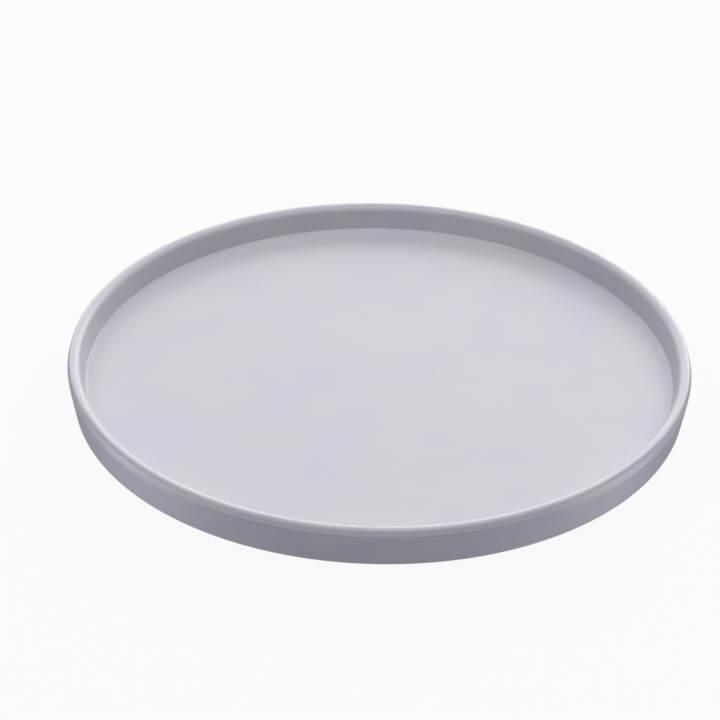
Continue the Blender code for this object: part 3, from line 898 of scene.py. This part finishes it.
def ball_steel():
    """Bearing steel with fine scratches, and a film of grease that dulls it in patches."""
    f = Finish("ball_steel", (0.62, 0.62, 0.63), 0.16, 1.0)
    film = f.spread(f.noise(420.0, detail=4.0), 0.42, 0.68)
    f.join("Base Color", f.tint(film, (0.66, 0.66, 0.67), (0.53, 0.51, 0.46)))
    f.join("Roughness", f.spread(film, 0.0, 1.0, 0.10, 0.30, smooth=False))
    scratch = f.noise(1.0, detail=3.0, vector=f.node(
        "ShaderNodeVectorMath", {0: f.place, 1: (900.0, 900.0, 9000.0)}, operation="MULTIPLY").outputs[0])
    f.bumps((scratch, 0.000004))
    return f.material


def foot_rubber():
    """Moulded grey rubber: dull, with fine pitting and a dusty sole."""
    f = Finish("foot_rubber", (0.16, 0.16, 0.17), 0.85)
    dust = f.maths("MULTIPLY", f.spread(f.height(), 0.0, DUST_HEIGHT, 1.0, 0.0),
                   f.spread(f.noise(900.0, detail=4.0), 0.40, 0.62))
    f.join("Base Color", f.tint(dust, (0.15, 0.15, 0.16), (0.34, 0.33, 0.31)))
    f.join("Roughness", f.spread(f.noise(1500.0), 0.3, 0.7, 0.72, 0.92))
    f.bumps((f.noise(3200.0, detail=3.0), 0.00004))
    return f.material


def zinc_steel():
    """Bright zinc plate: bluish and straw-coloured patches, fine spangle, a slightly uneven face."""
    f = Finish("zinc_steel", (0.68, 0.68, 0.66), 0.32, 1.0)
    patch = f.spread(f.noise(380.0, detail=4.0), 0.35, 0.65)
    f.join("Base Color", f.tint(patch, (0.62, 0.65, 0.70), (0.74, 0.70, 0.58)))
    spangle = f.node("ShaderNodeTexVoronoi", {"Vector": f.place, "Scale": 2200.0}).outputs["Distance"]
    f.join("Roughness", f.spread(spangle, 0.0, 0.7, 0.24, 0.42, smooth=False))
    f.bumps((f.noise(1400.0, detail=4.0), 0.000012))
    return f.material


def shared(maker):
    """The maker's material, made once and shared by every piece that asks for it."""
    made = []

    def give():
        if not made:
            made.append(maker())
        return made[0]
    return give


tray_plastic, base_plastic, cage_plastic, ball_steel, foot_rubber, zinc_steel = map(
    shared, (tray_plastic, base_plastic, cage_plastic, ball_steel, foot_rubber, zinc_steel))


# Stage, light and camera

def glow(name):
    """A white stage surface that shows its own even brightness from above and is clear from below."""
    material = bpy.data.materials.new(name)
    material.use_nodes = True
    tree = material.node_tree
    tree.nodes.clear()
    out = tree.nodes.new("ShaderNodeOutputMaterial")
    glowing = tree.nodes.new("ShaderNodeEmission")
    glowing.inputs["Color"].default_value = (1.0, 1.0, 1.0, 1.0)
    glowing.inputs["Strength"].default_value = FLOOR_GLOW
    paint = tree.nodes.new("ShaderNodeBsdfDiffuse")
    paint.inputs["Color"].default_value = (FLOOR_PAINT, FLOOR_PAINT, FLOOR_PAINT, 1.0)
    both = tree.nodes.new("ShaderNodeAddShader")
    clear = tree.nodes.new("ShaderNodeBsdfTransparent")
    side = tree.nodes.new("ShaderNodeNewGeometry")
    pick = tree.nodes.new("ShaderNodeMixShader")
    tree.links.new(glowing.outputs[0], both.inputs[0])
    tree.links.new(paint.outputs[0], both.inputs[1])
    tree.links.new(side.outputs["Backfacing"], pick.inputs[0])
    tree.links.new(both.outputs[0], pick.inputs[1])
    tree.links.new(clear.outputs[0], pick.inputs[2])
    tree.links.new(pick.outputs[0], out.inputs["Surface"])
    return material


def make_floor():
    """A round pale floor whose edge sweeps up into a dome all round, seen by the camera only."""
    dome_z = FLOOR_Z + SWEEP_RADIUS
    flat = np.linspace((0.0, FLOOR_Z), (FLOOR_RADIUS, FLOOR_Z), 13)
    sweep = arc(FLOOR_RADIUS, dome_z, SWEEP_RADIUS, -90, 0, 12)
    dome = arc(0.0, dome_z, FLOOR_RADIUS + SWEEP_RADIUS, 0, 90, 16)
    floor = lathe("studio_floor", np.concatenate((flat, sweep, dome)), FLOOR_COLUMNS, glow("studio_white"))
    floor.data.flip_normals()
    floor.visible_diffuse = False
    floor.visible_glossy = False
    floor.visible_transmission = False
    floor.visible_shadow = False


def soft_light(name, azimuth, elevation, power):
    """A round soft light on a sphere round the tray, facing its middle; tinted if it is below it."""
    lamp = bpy.data.lights.new(name, "AREA")
    lamp.shape = "DISK"
    lamp.size = LIGHT_SIZE
    lamp.energy = power
    if elevation < 0:
        lamp.color = UNDER_TINT
    light = bpy.data.objects.new(name, lamp)
    bpy.context.scene.collection.objects.link(light)
    a, e = math.radians(azimuth), math.radians(elevation)
    away = Vector((math.cos(e) * math.sin(a), math.cos(e) * math.cos(a), math.sin(e)))
    light.location = away * LIGHT_DISTANCE + Vector((0.0, 0.0, crest_z))
    light.rotation_mode = "QUATERNION"
    light.rotation_quaternion = (-away).to_track_quat("-Z", "Y")


def light_studio():
    """Soft lights behind, overhead, at the sides and below, where they stand for light off the ground."""
    for light in LIGHTS:
        soft_light(*light)
    world = bpy.data.worlds.new("studio")
    bpy.context.scene.world = world
    world.use_nodes = True
    world.node_tree.nodes["Background"].inputs["Color"].default_value = (1.0, 1.0, 1.0, 1.0)
    world.node_tree.nodes["Background"].inputs["Strength"].default_value = WORLD_STRENGTH


def place_camera():
    """A long lens in front of the tray, above it by CAMERA_ELEVATION, turned a little from its middle."""
    scene = bpy.context.scene
    camera = bpy.data.objects.new("camera", bpy.data.cameras.new("camera"))
    scene.collection.objects.link(camera)
    scene.camera = camera
    camera.data.sensor_width = 36.0
    camera.data.lens = CAMERA_LENS
    camera.data.clip_start, camera.data.clip_end = 0.05, 60.0
    e = math.radians(CAMERA_ELEVATION)
    back = Vector((0.0, -math.cos(e), math.sin(e)))
    aim = (-back).to_track_quat("-Z", "Y").to_matrix()
    turn = (Matrix.Rotation(math.radians(CAMERA_PAN), 3, "Y")
            @ Matrix.Rotation(math.radians(CAMERA_TILT), 3, "X")
            @ Matrix.Rotation(math.radians(CAMERA_ROLL), 3, "Z"))
    camera.location = back * CAMERA_DISTANCE + Vector((0.0, 0.0, crest_z))
    camera.rotation_mode = "QUATERNION"
    camera.rotation_quaternion = (aim @ turn).to_quaternion()
    scene.view_settings.view_transform = "Standard"
    scene.view_settings.look = "None"


def stand_for(piece, body, slot, *nodes):
    """The piece moves with a body and stands for these CAD nodes; slot is not used."""
    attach(piece, body)
    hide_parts(*nodes)


stand_for(make_tray(), "tray", "tray_plastic", "tray")
stand_for(make_base(), "base", "base_plastic", "base")
stand_for(make_cage(), "ball_cage", "cage_plastic", "ball_cage")
for number in range(1, BALLS + 1):
    stand_for(make_ball(number), f"ball_{number:02d}", "ball_steel", f"ball_{number:02d}")
for number in range(1, FEET + 1):
    stand_for(make_foot(number), "base", "foot_rubber", f"foot_{number}")
stand_for(make_screw(), "tray", "zinc_steel", "pivot_screw")
stand_for(make_washer(), "tray", "zinc_steel", "pivot_washer")
make_floor()
light_studio()
place_camera()
